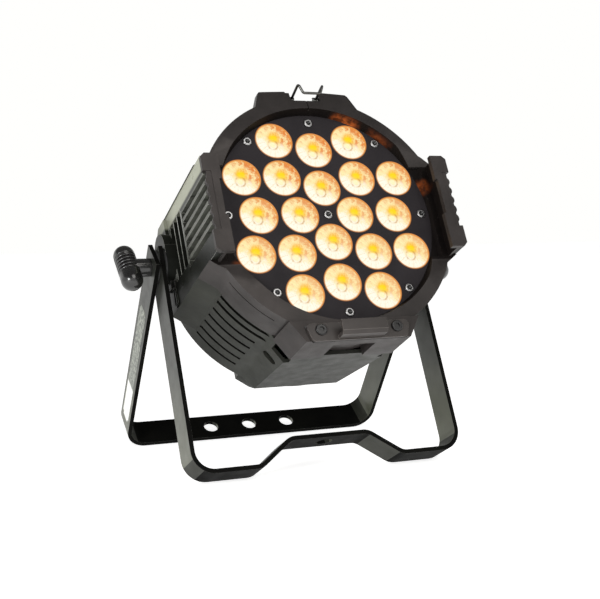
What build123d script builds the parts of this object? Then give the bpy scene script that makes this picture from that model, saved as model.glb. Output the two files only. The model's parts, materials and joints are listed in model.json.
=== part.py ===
"""Stage par light: a round lamp head that tilts between two U-shaped floor brackets.

Units are millimetres, +Z is up, the light faces -Y and the hinge line runs along X.
The head is drawn in its own axes, u to the right, v up the face and n out of the face,
with the hinge line through u at v = n = 0. Each bracket is drawn in the same kind of axes.
"""
from build123d import *
from math import cos, radians, sin
import os

# ---- pose of the three bodies about the hinge line -------------------------------------
HEAD_TILT = 27.2            # the face looks this far above the horizontal
FRONT_SPLAY = 26.5          # front bracket, forward from the vertical
REAR_SPLAY = 33.2           # rear bracket, backward from the vertical

# ---- brackets ---------------------------------------------------------------------------
BAR_WIDTH = 30.0
BAR_THICK = 3.8
FRONT_HALF = 126.6          # hinge centre to the outer face of a front bracket leg
REAR_HALF = 132.2
FRONT_DROP = 192.1          # hinge line to the outer face of the front crossbar
LEG_TOP = 14.0              # leg above the hinge line
BEND_R = 20.0               # outer radius of a bracket's corner
RAISE = 21.5                # the middle of the front crossbar stands this much higher
RAISE_TOP_HALF = 38.5
RAISE_FOOT_HALF = 68.5
RAISE_BEND_R = 16.0
CLAMP_HOLE_R = 7.25
CLAMP_PITCH = 41.0

# ---- hinge hardware ---------------------------------------------------------------------
STUD_R = 6.0
STUD_FIT = 0.05             # radial running clearance on the stud
STUD_INNER = 105.0
STUD_OUTER = 140.0
STEM_R = 8.2
STEM_START = REAR_HALF + 0.35
HANDLE_U = 152.0
HANDLE_R = 9.7
HANDLE_HALF = 16.0          # handle centre to the centre of an end dome
HANDLE_TURN = 25.0          # handle against the head's up direction
RIBS = 6
RIB_PITCH = 3.95
RIB_THICK = 2.5
RIB_DEPTH = 1.8

# ---- head: round body -------------------------------------------------------------------
RIM_R = 113.3               # body radius at the ring's front edge
RIM_N = 104.0
TAPER = 0.048               # radius lost per millimetre towards the rear
RING_FRONT = 107.0
RING_BACK = 67.0
BODY_BACK = -38.0
FLAT_U = 104.0              # flat sides of the round body
OPENING_R = 100.5           # recess at the ring's front plane
WALL = 6.6
PAD_HALF = 47.0             # flat belly and the ring's bottom pad
PAD_FOOT = 62.0
REAR_PAD_HALF = 41.0        # the belly narrows towards its rear end
REAR_PAD_FOOT = 53.0
RING_PAD_V = -117.0
BELLY_BACK_V = -106.0
BELLY_FRONT_V = -115.0
BELLY_WALL = 3.4
GROOVES = ((64.0, 4.4), (52.5, 4.2), (38.0, 3.4), (23.5, 3.4), (9.0, 3.4), (-5.5, 3.4), (-20.0, 3.4))
GROOVE_DEPTH = 4.0
GROOVE_START = 30.5         # grooves run from this angle above the horizontal
GROOVE_END = 55.0
LONG_GROOVE_END = 64.0      # the two grooves nearest the ring reach further

# ---- head: face -------------------------------------------------------------------------
FACE_N = 98.3
PLATE_R = 98.0
PLATE_THICK = 2.0
LENS_R = 16.4
LENS_HOLE_R = 16.6
RING_RADII = (25.7, 50.06, 63.0)
OUTER_LENS = (35.7, 71.8)
SCREW_CIRCLE = 90.1
CORNER_SCREW = (60.6, 70.5)
SCREW_HEAD_R = 3.9
SCREW_SOCKET_R = 2.5
BOARD_N = 74.0
BOARD_R = 96.0
SINK_BACK = 24.0

# ---- head: side ears and panels -----------------------------------------------------------
EAR_FRONT = 122.0
EAR_TOP = 45.5
EAR_BOTTOM = -43.0
EAR_OUT = 114.0
LIP_U = 98.8                # inner edge of the frame channel's lip
LIP_BACK = 117.5
CHANNEL_U = 105.0
CHANNEL_FLOOR = 101.5
FACET_V = 63.5              # the ring's front face slopes down from here to the ear
PANEL_IN = 107.0
PANEL_OUT = 113.0
PANEL_TOP = 45.0
PANEL_BOTTOM = -41.2
PANEL_BACK = -16.0
PANEL_FRONT = 117.7
SLOTS = 6
SLOT_TOP_V = 24.5
SLOT_PITCH = 9.0
SLOT_HEIGHT = 6.0
SLOT_BACK = 50.5
FIN_NS = (13.0, 24.3, 35.6, 46.9)
FIN_THICK = 1.5
FIN_TOP = 32.0
FIN_BOTTOM = -19.0
BOSS_OUT = 121.0
BOSS_PLATE_OUT = 116.8

# ---- head: bottom holder, top ear and clip ------------------------------------------------
HOLDER_BACK = 106.5
HOLDER_FRONT = 109.5
HOOK_FRONT = 121.0
HOOK_BOTTOM = -116.8
HOOK_CHAMFER = 3.0
HOLDER_SCREW = (34.0, -108.5)
TOP_EAR_V = 119.4
TOP_EAR_BACK = 94.5
EAR_STEP = 0.2              # the ear's front lies this far behind the ring's
NOTCH_HALF = 14.0
NOTCH_V = 109.4
CLIP_V = 113.2              # the line that the wire clip turns on
CLIP_N = 98.5
CLIP_LEG = 11.6             # half the distance between the clip's legs
CLIP_REACH = 119.5          # the clip's front end stands this far out
CLIP_HUMP_V = 116.8
CLIP_BAR_V = 108.4
WIRE_R = 1.15

# ---- head: rear ---------------------------------------------------------------------------
REAR_N = -54.0
REAR_R = 96.0
COVER_WALL = 3.0
COVER_RISE = 6.0            # the belly rises this much over the cover's depth
FAN_V = 34.0
FAN_SIZE = 80.0
FAN_FRONT = -30.8
FAN_BACK = -50.8
FAN_BORE = 38.0
CONTROL_V = -26.0
DISPLAY_U = 24.0
BUTTON_US = (-6.0, -17.0, -28.0, -39.0)
BUTTON_R = 3.75
BUTTON_PROUD = 1.6
SOCKETS = {"power_inlet": (-50.0, -62.0), "signal_input": (-17.0, -72.0),
           "signal_output": (17.0, -72.0), "power_outlet": (50.0, -62.0)}
SOCKET_R = 8.0
SOCKET_DEPTH = 9.0
FUSE_AT = (70.0, -26.0)
EYE_V = 84.0

# ---- where the hinge line stands ------------------------------------------------------------
splay_f, splay_r, tilt = radians(FRONT_SPLAY), radians(REAR_SPLAY), radians(HEAD_TILT)
HINGE_Z = FRONT_DROP * cos(splay_f) + BAR_WIDTH / 2 * sin(splay_f)
REAR_DROP = (HINGE_Z - BAR_WIDTH / 2 * sin(splay_r)) / cos(splay_r)
reach_rear = REAR_DROP * sin(splay_r) + BAR_WIDTH / 2 * cos(splay_r)
reach_front = HOOK_FRONT * cos(tilt) - (HOOK_BOTTOM + HOOK_CHAMFER) * sin(tilt)
HINGE_Y = (reach_front - reach_rear) / 2


def axes_at(angle):
    """Axes of a body that leans back by angle: x stays x, y is its up, z its forward."""
    a = radians(angle)
    return Plane(origin=(0, HINGE_Y, HINGE_Z), x_dir=(1, 0, 0), z_dir=(0, -cos(a), sin(a))).location


HEAD = axes_at(HEAD_TILT)
FRONT = axes_at(FRONT_SPLAY)
REAR = axes_at(-REAR_SPLAY)


# ---- small shape helpers --------------------------------------------------------------------
def box(u0, u1, v0, v1, n0, n1):
    return Pos((u0 + u1) / 2, (v0 + v1) / 2, (n0 + n1) / 2) * Box(u1 - u0, v1 - v0, n1 - n0)


def disc(radius, n0, n1, u=0.0, v=0.0):
    return Pos(u, v, (n0 + n1) / 2) * Cylinder(radius, n1 - n0)


def cone(r0, r1, n0, n1):
    return Pos(0, 0, (n0 + n1) / 2) * Cone(r0, r1, n1 - n0)


def rod(radius, u0, u1, v=0.0, n=0.0):
    return Pos((u0 + u1) / 2, v, n) * Rot(0, 90, 0) * Cylinder(radius, abs(u1 - u0))


def prism(points, n0, n1):
    """Polygon in u, v, from n0 to n1."""
    face = make_face(Polyline(*points, close=True))
    return extrude(Pos(0, 0, n0) * face, amount=n1 - n0, dir=(0, 0, 1))


def prism_u(points, u0, u1):
    """Polygon in v, n, from u0 to u1."""
    face = Plane.YZ * make_face(Polyline(*points, close=True))
    return extrude(Pos(u0, 0, 0) * face, amount=u1 - u0, dir=(1, 0, 0))


def prism_v(points, v0, v1):
    """Polygon in u, n, from v0 to v1."""
    face = Plane.XZ * make_face(Polyline(*points, close=True))
    return extrude(Pos(0, v0, 0) * face, amount=v1 - v0, dir=(0, 1, 0))


def flip(shape):
    """The same shape on the other side of the middle plane."""
    return mirror(shape, about=Plane.YZ)


def both(shape):
    return shape + flip(shape)


def grouped(shapes):
    """Separate solids that share one node."""
    return Compound([solid for shape in shapes for solid in shape.solids()])


def body_radius(n):
    return RIM_R - TAPER * (RIM_N - n)


def pad_outline(foot, half, foot_v, pad_v, inset=0.0):
    """Outline of the flat belly: two slanted sides and a flat bottom."""
    foot, half = foot - inset, half - inset * 0.6
    return [(-foot, foot_v + 20), (-foot, foot_v), (-half, pad_v + inset), (half, pad_v + inset),
            (foot, foot_v), (foot, foot_v + 20)]


def belly_section(n, inset=0.0):
    """Section of the belly at n: it is deepest and widest where it meets the ring."""
    share = (RING_BACK - n) / (RING_BACK - BODY_BACK)
    foot = PAD_FOOT + share * (REAR_PAD_FOOT - PAD_FOOT)
    half = PAD_HALF + share * (REAR_PAD_HALF - PAD_HALF)
    depth = BELLY_FRONT_V + share * (BELLY_BACK_V - BELLY_FRONT_V)
    if n < BODY_BACK:
        depth += COVER_RISE * (BODY_BACK - n) / (BODY_BACK - REAR_N)
    return Pos(0, 0, n) * make_face(Polyline(*pad_outline(foot, half, -90, depth, inset), close=True))


def belly(n0, n1, inset=0.0):
    return loft([belly_section(n0, inset), belly_section(n1, inset)])


def facet_wedges(n0, n1):
    """Slanted facets that run from the side boxes' long edges in to the round body."""
    corner = [(85, PANEL_TOP + 20), (85, 30), (FLAT_U, 30), (FLAT_U, PANEL_TOP), (EAR_OUT, PANEL_TOP)]
    lower = [(u, -v + (PANEL_TOP + PANEL_BOTTOM)) for u, v in corner]
    return both(prism(corner, n0, n1) + prism(lower, n0, n1))


# ---- lens places ------------------------------------------------------------------------------
def lens_places():
    """Twenty places: one square ring, two rings on the axes and diagonals, and the outer eight."""
    inner, diagonal, middle = RING_RADII
    d = diagonal * cos(radians(45))
    a, b = OUTER_LENS
    quarter = [(inner, 0), (d, d), (middle, 0), (a, b), (b, a)]
    places = []
    for u, v in quarter:
        for _ in range(4):
            places.append((u, v))
            u, v = -v, u
    return sorted(places, key=lambda p: (-round(p[1], 1), round(p[0], 1)))


def screw_places():
    a, b = CORNER_SCREW
    on_axes = [(0, 0), (SCREW_CIRCLE, 0), (-SCREW_CIRCLE, 0), (0, SCREW_CIRCLE), (0, -SCREW_CIRCLE)]
    return on_axes + [(su * a, sv * b) for su in (-1, 1) for sv in (-1, 1)]


LENSES = lens_places()
FACE_SCREWS = screw_places()


# ---- brackets ---------------------------------------------------------------------------------
def bar_path(half, drop, raised):
    """Outer line of the U, from the top of one leg to the top of the other."""
    side = [(-half, LEG_TOP), (-half, -drop)]
    if raised:
        side += [(-RAISE_FOOT_HALF, -drop), (-RAISE_TOP_HALF, -drop + RAISE)]
    return side + [(-u, v) for u, v in reversed(side)]


def bracket(half, drop, raised):
    """Flat bar bent to a U, with the stud holes and the clamp holes."""
    points = bar_path(half, drop, raised)
    radii = [BEND_R] + [RAISE_BEND_R] * (len(points) - 4) + [BEND_R]
    centre = BAR_THICK / 2
    inset = [(u - centre if u > 0 else u + centre, v + (centre if v < 0 else 0)) for u, v in points]
    line = FilletPolyline(*inset, radius=[r - centre for r in radii])
    profile = Plane(origin=line @ 0, z_dir=line % 0, x_dir=(0, 0, 1)) * Rectangle(BAR_WIDTH, BAR_THICK)
    bar = sweep(profile, path=line)
    bar -= rod(STUD_R + STUD_FIT, -half - 5, half + 5)
    crossbar = -drop + (RAISE if raised else 0)
    for u in ((0,) if raised else (-CLAMP_PITCH, 0, CLAMP_PITCH)):
        bar -= Pos(u, crossbar, 0) * Rot(90, 0, 0) * Cylinder(CLAMP_HOLE_R, 4 * BAR_THICK)
    return bar


def front_bracket():
    return bracket(FRONT_HALF, FRONT_DROP, raised=True)


def rear_bracket():
    return bracket(REAR_HALF, REAR_DROP, raised=False)


def washer_pair(radius, u0, u1):
    """One flat washer on each side, round the studs."""
    return both(rod(radius, u0, u1) - rod(STUD_R + 0.4, u0 - 1, u1 + 1))


def knob():
    """Right-hand clamp knob: ribbed cross handle on a round stem, bored for the stud."""
    handle = Cylinder(HANDLE_R - RIB_DEPTH, 2 * HANDLE_HALF)
    rib = Cylinder(HANDLE_R, RIB_THICK)
    rib = fillet(rib.edges().filter_by(GeomType.CIRCLE), 1.0)
    first = HANDLE_HALF - RIB_PITCH + RIB_THICK / 2
    for i in range(RIBS):
        handle += Pos(0, 0, first - i * RIB_PITCH) * rib
    plain_top = first - (RIBS - 0.5) * RIB_PITCH
    handle += Pos(0, 0, (plain_top - HANDLE_HALF) / 2) * Cylinder(HANDLE_R, plain_top + HANDLE_HALF)
    for end in (-HANDLE_HALF, HANDLE_HALF):
        handle += Pos(0, 0, end) * Sphere(HANDLE_R)
    handle = Pos(HANDLE_U, 0, 0) * Rot(-90 - HANDLE_TURN, 0, 0) * handle
    stem = rod(STEM_R, STEM_START, HANDLE_U)
    return handle + stem - rod(STUD_R, STUD_INNER, STUD_OUTER)


def clamp_stud():
    """Right-hand stud: plain where the brackets turn on it, with a chamfered inner end."""
    stud = rod(STUD_R, STUD_INNER, STUD_OUTER)
    tip = stud.faces().sort_by(Axis.X)[0].edges()
    return chamfer(tip, 1.0)


# ---- front ring -----------------------------------------------------------------------------
def front_ring():
    """Cast bezel: tapered skirt, sloped front, side ears with frame channels, pad and top ear."""
    skirt = cone(body_radius(RING_BACK), RIM_R, RING_BACK, RIM_N)
    nose = cone(RIM_R, OPENING_R, RIM_N, RING_FRONT)
    ring = (skirt + nose) & box(-FLAT_U, FLAT_U, -140, 140, 0, 200)
    ring += facet_wedges(RING_BACK, RIM_N)
    dip = [(-FACET_V, RING_FRONT), (-EAR_TOP, CHANNEL_FLOOR), (EAR_TOP, CHANNEL_FLOOR),
           (FACET_V, RING_FRONT), (FACET_V, RING_FRONT + 3), (-FACET_V, RING_FRONT + 3)]
    ring -= both(prism_u(dip, 74, 125))
    ring += bottom_pad() + top_ear()
    ring -= disc(PLATE_R + 0.15, RING_BACK - 1, FACE_N)
    ring -= cone(PLATE_R + 0.15, OPENING_R, FACE_N, RING_FRONT)
    side_wall = [(80, FACE_N), (97.8, FACE_N), (99.3, CHANNEL_FLOOR), (99.3, RING_FRONT + 3),
                 (80, RING_FRONT + 3)]
    ring -= both(prism_v(side_wall, EAR_BOTTOM, EAR_TOP))
    hollow = disc(104.0, RING_BACK - 1, FACE_N - 4) & box(-101, 101, -140, 140, 0, 200)
    ring -= hollow
    ring += both(ear())
    for side in (-1, 1):
        ring -= disc(1.6, HOLDER_BACK - 12, HOLDER_BACK + 1, side * HOLDER_SCREW[0], HOLDER_SCREW[1])
    ring -= gasket_band(RING_BACK - 1, RING_BACK + 1.2)
    thin_groove = disc(140, 91.5, 92.7) - cone(body_radius(91.5) - 0.9, body_radius(92.7) - 0.9, 91.5, 92.7)
    ring -= thin_groove & corner_sectors(GROOVE_END)
    ring -= box(-0.4, 0.4, OPENING_R - 2, NOTCH_V + 1, RING_FRONT - 2.6, RING_FRONT + 1)
    return ring - both(rod(STUD_R + 1, 90, 140))


def bottom_pad():
    """Flat pad under the ring, hollow behind a window in its middle."""
    pad = prism(pad_outline(PAD_FOOT, PAD_HALF, -94, RING_PAD_V), RING_BACK, HOLDER_BACK)
    pad &= box(-80, 80, -140, -99, 0, 200)
    pad -= box(-19, 19, -130, -108.5, RING_BACK - 1, RING_BACK + 28)
    return pad


def top_ear():
    """Trapezoid plate on top; its front carries on the slope of the ring."""
    outline = [(-52.5, 92), (-49, 102), (-43.4, TOP_EAR_V - 2), (-41.5, TOP_EAR_V), (-17.8, TOP_EAR_V + 0.6),
               (-17.2, TOP_EAR_V - 0.9), (17.2, TOP_EAR_V - 0.9), (17.8, TOP_EAR_V + 0.6),
               (41.5, TOP_EAR_V), (43.4, TOP_EAR_V - 2), (49, 102), (52.5, 92)]
    outer_r = 130.0
    slope = (RING_FRONT - RIM_N) / (RIM_R - OPENING_R)
    outer_n = RIM_N - EAR_STEP - (outer_r - RIM_R) * slope
    front = disc(outer_r, TOP_EAR_BACK, outer_n) + cone(outer_r, OPENING_R, outer_n, RING_FRONT - EAR_STEP)
    return prism(outline, TOP_EAR_BACK, RING_FRONT) & front


def top_notch():
    """Room for the wire clip, and the holes that its ends turn in."""
    room = box(-NOTCH_HALF, NOTCH_HALF, NOTCH_V, 130, 87, 115)
    return room + rod(WIRE_R + 0.08, -20.5, 20.5, CLIP_V, CLIP_N)


def ear():
    """Right ear: channel wall, lip in front of the channel, end blocks and a scalloped edge."""
    wall = box(CHANNEL_U, PANEL_IN, EAR_BOTTOM, EAR_TOP, RING_BACK, EAR_FRONT)
    floor = box(99.3, PANEL_IN, EAR_BOTTOM, EAR_TOP, FACE_N, CHANNEL_FLOOR)
    lip = box(LIP_U, PANEL_IN, EAR_BOTTOM, EAR_TOP, LIP_BACK, EAR_FRONT)
    lip -= box(LIP_U - 1, LIP_U + 2.2, -11, 22, LIP_BACK - 1, EAR_FRONT + 1)
    shape = wall + floor + lip
    strip_back, strip_front, scallop_r = LIP_BACK + 0.5, EAR_FRONT - 0.6, 4.4
    strip_top = SLOT_TOP_V + SLOT_PITCH / 2
    strip_bottom = SLOT_TOP_V - (SLOTS - 0.5) * SLOT_PITCH + 1.5
    for v0, v1, corner in ((strip_top, EAR_TOP, -1), (EAR_BOTTOM, strip_bottom, 0)):
        block = box(PANEL_IN - 1, EAR_OUT, v0, v1, strip_back, EAR_FRONT)
        outer_edges = block.edges().filter_by(Axis.Z).sort_by(Axis.X)[-2:].sort_by(Axis.Y)
        shape += chamfer(outer_edges[corner], 3.4)
    shape += box(PANEL_IN - 1, EAR_OUT - 2.8, strip_bottom, strip_top, strip_back, strip_front)
    for i in range(SLOTS - 1):
        rib_v = SLOT_TOP_V - (i + 0.5) * SLOT_PITCH
        shape += disc(scallop_r, strip_back, strip_front, EAR_OUT - 1.2 - scallop_r, rib_v)
    return shape


def gasket_band(n0, n1):
    """Closed band that follows the ring's back face."""
    outer = disc(107.0, n0, n1) & box(-102.6, 102.6, -140, 140, n0 - 1, n1 + 1)
    inner = disc(105.0, n0 - 1, n1 + 1) & box(-101.6, 101.6, -140, 140, n0 - 2, n1 + 2)
    return outer - inner


def corner_sectors(end):
    """The four corner sectors that a groove runs in, each out to the angle end."""
    reach = 160
    ray = [(reach * cos(radians(a)), reach * sin(radians(a))) for a in (GROOVE_START, end)]
    wedge = prism([(0, 0)] + ray, -60, 110)
    right = wedge + mirror(wedge, about=Plane.XZ)
    return both(right)


# ---- main housing ---------------------------------------------------------------------------
def main_housing():
    """Round body behind the ring: cooling grooves, side facets, belly with vents."""
    shell = cone(body_radius(BODY_BACK), body_radius(RING_BACK), BODY_BACK, RING_BACK)
    shell &= box(-FLAT_U, FLAT_U, -140, 140, -100, 200)
    shell += facet_wedges(PANEL_BACK, RING_BACK)
    for n, width in GROOVES:
        n0, n1 = n - width / 2, min(n + width / 2, RING_BACK - 1.2)
        floor_r = body_radius(n) - GROOVE_DEPTH
        end = LONG_GROOVE_END if n > 45 else GROOVE_END
        shell -= (disc(140, n0, n1) - disc(floor_r, n0 - 1, n1 + 1)) & corner_sectors(end)
    shell += belly(BODY_BACK, RING_BACK)
    core = cone(body_radius(BODY_BACK) - WALL, body_radius(RING_BACK) - WALL, BODY_BACK, RING_BACK)
    core = core & box(-FLAT_U + 3, FLAT_U - 3, -140, 140, -100, 200)
    core += belly(BODY_BACK, RING_BACK, BELLY_WALL)
    shell -= core
    return shell - belly_vents()


def belly_vents():
    """One square vent and one round-ended hole in each slanted side."""
    slant = 59.0
    vent = Pos(50.5, -108.5, 57.0) * Rot(0, 0, slant) * Box(18, 14, 14)
    hole = extrude(SlotOverall(15, 8.5), 8, both=True)
    hole = Pos(52.0, -103.0, 34.0) * Rot(0, 0, slant) * Rot(90, 0, 0) * hole
    return both(vent + hole)


# ---- side panels ------------------------------------------------------------------------------
def side_panel():
    """Right side cover: long slots, four upright fins in a pocket, eyelet and yoke boss."""
    panel = box(PANEL_IN, PANEL_OUT, PANEL_BOTTOM, PANEL_TOP, PANEL_BACK, PANEL_FRONT)
    panel += box(FLAT_U, PANEL_IN, PANEL_BOTTOM, PANEL_TOP, PANEL_BACK, RING_BACK)
    floor_u = PANEL_IN + 0.8
    for i in range(SLOTS):
        v = SLOT_TOP_V - i * SLOT_PITCH
        cut = box(floor_u, PANEL_OUT + 1, v - SLOT_HEIGHT / 2, v + SLOT_HEIGHT / 2, SLOT_BACK,
                  PANEL_FRONT + 1)
        panel -= cut
    panel -= box(floor_u, PANEL_OUT + 1, FIN_BOTTOM, FIN_TOP, FIN_NS[0] - 2.4, SLOT_BACK - 2)
    for n in FIN_NS:
        panel += box(floor_u - 0.5, PANEL_OUT - 0.3, FIN_BOTTOM - 0.5, FIN_TOP + 0.5,
                     n - FIN_THICK / 2, n + FIN_THICK / 2)
    panel += yoke_boss()
    eyelet = Pos(PANEL_OUT, -30, 1.0) * Rot(0, 90, 0) * Rot(0, 0, 90) * extrude(
        SlotOverall(19, 7) - SlotOverall(15.6, 3.6), 1.4)
    panel += eyelet
    return panel - rod(STUD_R + STUD_FIT, 90, 140)


def yoke_boss():
    """Pad that carries the stud: a thin plate with cut corners and a thicker round-topped part."""
    back = PANEL_OUT - 5
    plate = prism_u([(41.5, 10), (41.5, -8), (34, -17.5), (-14, -17.5), (-22, -8), (-22, 2), (0, 10)],
                    back, BOSS_PLATE_OUT)
    top = rod(16.0, back, BOSS_OUT, 15.0, -1.0)
    low = rod(16.0, back, BOSS_OUT)
    web = box(back, BOSS_OUT, 0, 15.0, -16.5, 15.5)
    return plate + top + low + web


# ---- face: plate, lenses, holders, board, heat sink -------------------------------------------
def face_plate():
    plate = disc(PLATE_R, FACE_N - PLATE_THICK, FACE_N)
    for u, v in LENSES:
        plate -= disc(LENS_HOLE_R, 90, 110, u, v)
    for u, v in FACE_SCREWS:
        plate -= disc(2.1, 90, 110, u, v)
    return plate


def lens():
    """Collimator lens: a cone with a pocket over the emitter and a slightly domed face."""
    back, waist, edge, dome = 78.5, 94.0, FACE_N - 0.3, 1.4
    cap_r = (LENS_R ** 2 + dome ** 2) / (2 * dome)
    body = cone(6.2, LENS_R - 0.8, back, waist) + cone(LENS_R - 0.8, LENS_R, waist, waist + 1)
    body += disc(LENS_R, waist + 1, edge + dome) & Pos(0, 0, edge + dome - cap_r) * Sphere(cap_r)
    return body - disc(4.2, back - 1, 82)


def lens_holders():
    cup = disc(17.3, BOARD_N + 2, FACE_N - PLATE_THICK - 0.1) - disc(LENS_HOLE_R, 70, 100)
    return grouped([Pos(u, v, 0) * cup for u, v in LENSES])


def led_emitters():
    chip = box(-3.2, 3.2, -3.2, 3.2, BOARD_N + 2, BOARD_N + 3)
    dome = (Pos(0, 0, BOARD_N + 2.6) * Sphere(2.6)) & box(-3, 3, -3, 3, BOARD_N + 2, BOARD_N + 8)
    return grouped([Pos(u, v, 0) * (chip + dome) for u, v in LENSES])


def screw_clearance(n0, n1):
    cut = None
    for u, v in FACE_SCREWS:
        hole = disc(2.0, n0, n1, u, v)
        cut = hole if cut is None else cut + hole
    return cut


def led_board():
    return disc(BOARD_R, BOARD_N, BOARD_N + 2) - screw_clearance(BOARD_N - 1, BOARD_N + 3)


def heat_sink():
    """Round base with four lugs on its edge and straight fins behind it."""
    base_back = BOARD_N - 6
    sink = disc(BOARD_R + 0.5, base_back, BOARD_N)
    for angle in (45, 135, 225, 315):
        sink += Rot(0, 0, angle) * box(90, 103.6, -7, 7, base_back + 1, BOARD_N - 1)
    fins = None
    for i in range(-10, 11):
        fin = box(i * 8.4 - 1, i * 8.4 + 1, -90, 90, SINK_BACK, base_back + 0.5)
        fins = fin if fins is None else fins + fin
    fins &= disc(90, SINK_BACK - 1, BOARD_N)
    fins &= box(-95, 95, -50, 95, 0, 100)
    return sink + fins - screw_clearance(BOARD_N - 5, BOARD_N + 1)


def face_screws():
    """Nine button heads with hexagon sockets."""
    screws = []
    head = disc(SCREW_HEAD_R, FACE_N, FACE_N + 1.5)
    head = fillet(head.edges().filter_by(GeomType.CIRCLE).sort_by(Axis.Z)[-1], 0.9)
    head -= extrude(Pos(0, 0, FACE_N + 0.5) * RegularPolygon(SCREW_SOCKET_R, 6), 2)
    screw = head + disc(2.0, BOARD_N - 5, FACE_N)
    for u, v in FACE_SCREWS:
        screws.append(Pos(u, v, 0) * screw)
    return grouped(screws)


# ---- bottom holder and top clip ------------------------------------------------------------------
def accessory_holder():
    """Plate on the bottom pad with a hook that takes the lower edge of a frame."""
    plate = prism([(-47, -102.8), (-42.5, RING_PAD_V - 1), (42.5, RING_PAD_V - 1), (47, -102.8)],
                  HOLDER_BACK, HOLDER_FRONT)
    plate = fillet(plate.edges().filter_by(Axis.Z), 4.0)
    hook_floor = -113.6
    profile = [(HOOK_BOTTOM, HOLDER_FRONT - 1), (HOOK_BOTTOM, HOOK_FRONT - HOOK_CHAMFER),
               (HOOK_BOTTOM + HOOK_CHAMFER, HOOK_FRONT), (-104.6, HOOK_FRONT), (-104.6, HOOK_FRONT - 2.6),
               (hook_floor, HOOK_FRONT - 2.6), (hook_floor, HOLDER_FRONT - 1)]
    hook = prism_u(profile, -20, 20)
    plate += hook
    for side in (-1, 1):
        plate -= disc(2.3, 100, 120, side * HOLDER_SCREW[0], HOLDER_SCREW[1])
    return plate


def holder_screws():
    head = disc(4.9, HOLDER_FRONT, HOLDER_FRONT + 2.0)
    head = fillet(head.edges().filter_by(GeomType.CIRCLE).sort_by(Axis.Z)[-1], 1.0)
    head -= extrude(Pos(0, 0, HOLDER_FRONT + 1.0) * RegularPolygon(2.3, 6), 3)
    screw = head + disc(1.6, HOLDER_BACK - 9, HOLDER_FRONT)
    return grouped([Pos(side * HOLDER_SCREW[0], HOLDER_SCREW[1], 0) * screw for side in (-1, 1)])


def clip_line():
    """The clip's wire, from one turned end to the other: forward, down, across and back."""
    half = [(-19.5, CLIP_V, CLIP_N), (-CLIP_LEG, CLIP_V, CLIP_N), (-CLIP_LEG, CLIP_HUMP_V, CLIP_REACH),
            (-CLIP_LEG + 3.5, CLIP_BAR_V, CLIP_REACH - 1.0)]
    return half + [(-u, v, n) for u, v, n in reversed(half)]


def top_clip():
    """Wire spring clip that lies forward over the frame channel, with a coil at each turned end."""
    line = FilletPolyline(*clip_line(), radius=2.2)
    wire = sweep(Plane(origin=line @ 0, z_dir=line % 0) * Circle(WIRE_R), path=line)
    coils = rod(2.4, CLIP_LEG - 1.4, NOTCH_HALF - 0.4, CLIP_V, CLIP_N)
    return wire + both(coils)


# ---- rear: cover, fan, boards, controls, sockets --------------------------------------------------
def rear_cover():
    """Dished cover with a fan grille, a control cut-out, socket holes and a flat belly."""
    dish = cone(REAR_R, body_radius(BODY_BACK), REAR_N, BODY_BACK)
    dish &= box(-FLAT_U, FLAT_U, -140, 140, -100, 0)
    dish += belly(REAR_N, BODY_BACK)
    front_r = body_radius(BODY_BACK)
    inside = cone(REAR_R - COVER_WALL, front_r - COVER_WALL - 1, REAR_N + COVER_WALL, BODY_BACK)
    inside = inside & box(-FLAT_U + 3, FLAT_U - 3, -140, 140, -100, 0)
    inside += belly(REAR_N + COVER_WALL, BODY_BACK, BELLY_WALL)
    cover = dish - inside
    for inner_r, outer_r in ((10, 14), (18, 22), (26, 30), (34, 37.5)):
        slot = disc(outer_r, REAR_N - 1, REAR_N + 4, 0, FAN_V)
        slot -= disc(inner_r, REAR_N - 2, REAR_N + 5, 0, FAN_V)
        for angle in (0, 60, 120):
            slot -= Pos(0, FAN_V, REAR_N + 1.5) * Rot(0, 0, angle) * Box(90, 3.2, 8)
        cover -= slot
    cover -= box(-44, 44, CONTROL_V - 11.5, CONTROL_V + 11.5, REAR_N - 1, REAR_N + 4)
    for u, v in SOCKETS.values():
        cover -= disc(SOCKET_R + 2.0, REAR_N - 1, REAR_N + 4, u, v)
    cover -= disc(5.5, REAR_N - 1, REAR_N + 4, *FUSE_AT)
    for u, v in rear_screw_places():
        cover -= disc(1.6, REAR_N - 1, REAR_N + 4, u, v)
    return cover


def rear_screw_places():
    r = REAR_R - 8
    return [(r * cos(radians(a)), r * sin(radians(a))) for a in (28, 65, 115, 152, 195, 345)]


def rear_screws():
    head = disc(3.4, REAR_N - 2.0, REAR_N)
    head = fillet(head.edges().filter_by(GeomType.CIRCLE).sort_by(Axis.Z)[0], 1.2)
    head -= Pos(0, 0, REAR_N - 1.6) * (Box(3.6, 0.9, 1.4) + Box(0.9, 3.6, 1.4))
    screw = head + disc(1.6, REAR_N, REAR_N + 9)
    return grouped([Pos(u, v, 0) * screw for u, v in rear_screw_places()])


def fan_frame():
    """Square fan frame with a round bore, corner holes and three struts to the motor seat."""
    frame = box(-FAN_SIZE / 2, FAN_SIZE / 2, -FAN_SIZE / 2, FAN_SIZE / 2, FAN_BACK, FAN_FRONT)
    frame = fillet(frame.edges().filter_by(Axis.Z), 4.0)
    frame -= disc(FAN_BORE, FAN_BACK - 1, FAN_FRONT + 1)
    seat = disc(15, FAN_BACK, FAN_BACK + 3)
    for angle in (90, 210, 330):
        seat += Rot(0, 0, angle) * box(10, FAN_BORE + 1, -2, 2, FAN_BACK, FAN_BACK + 3)
    frame += seat
    frame -= disc(2.05, FAN_BACK - 1, FAN_BACK + 4)
    for su in (-1, 1):
        for sv in (-1, 1):
            frame -= disc(2.1, FAN_BACK - 1, FAN_FRONT + 1, su * 35.8, sv * 35.8)
    return Pos(0, FAN_V, 0) * frame


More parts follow.
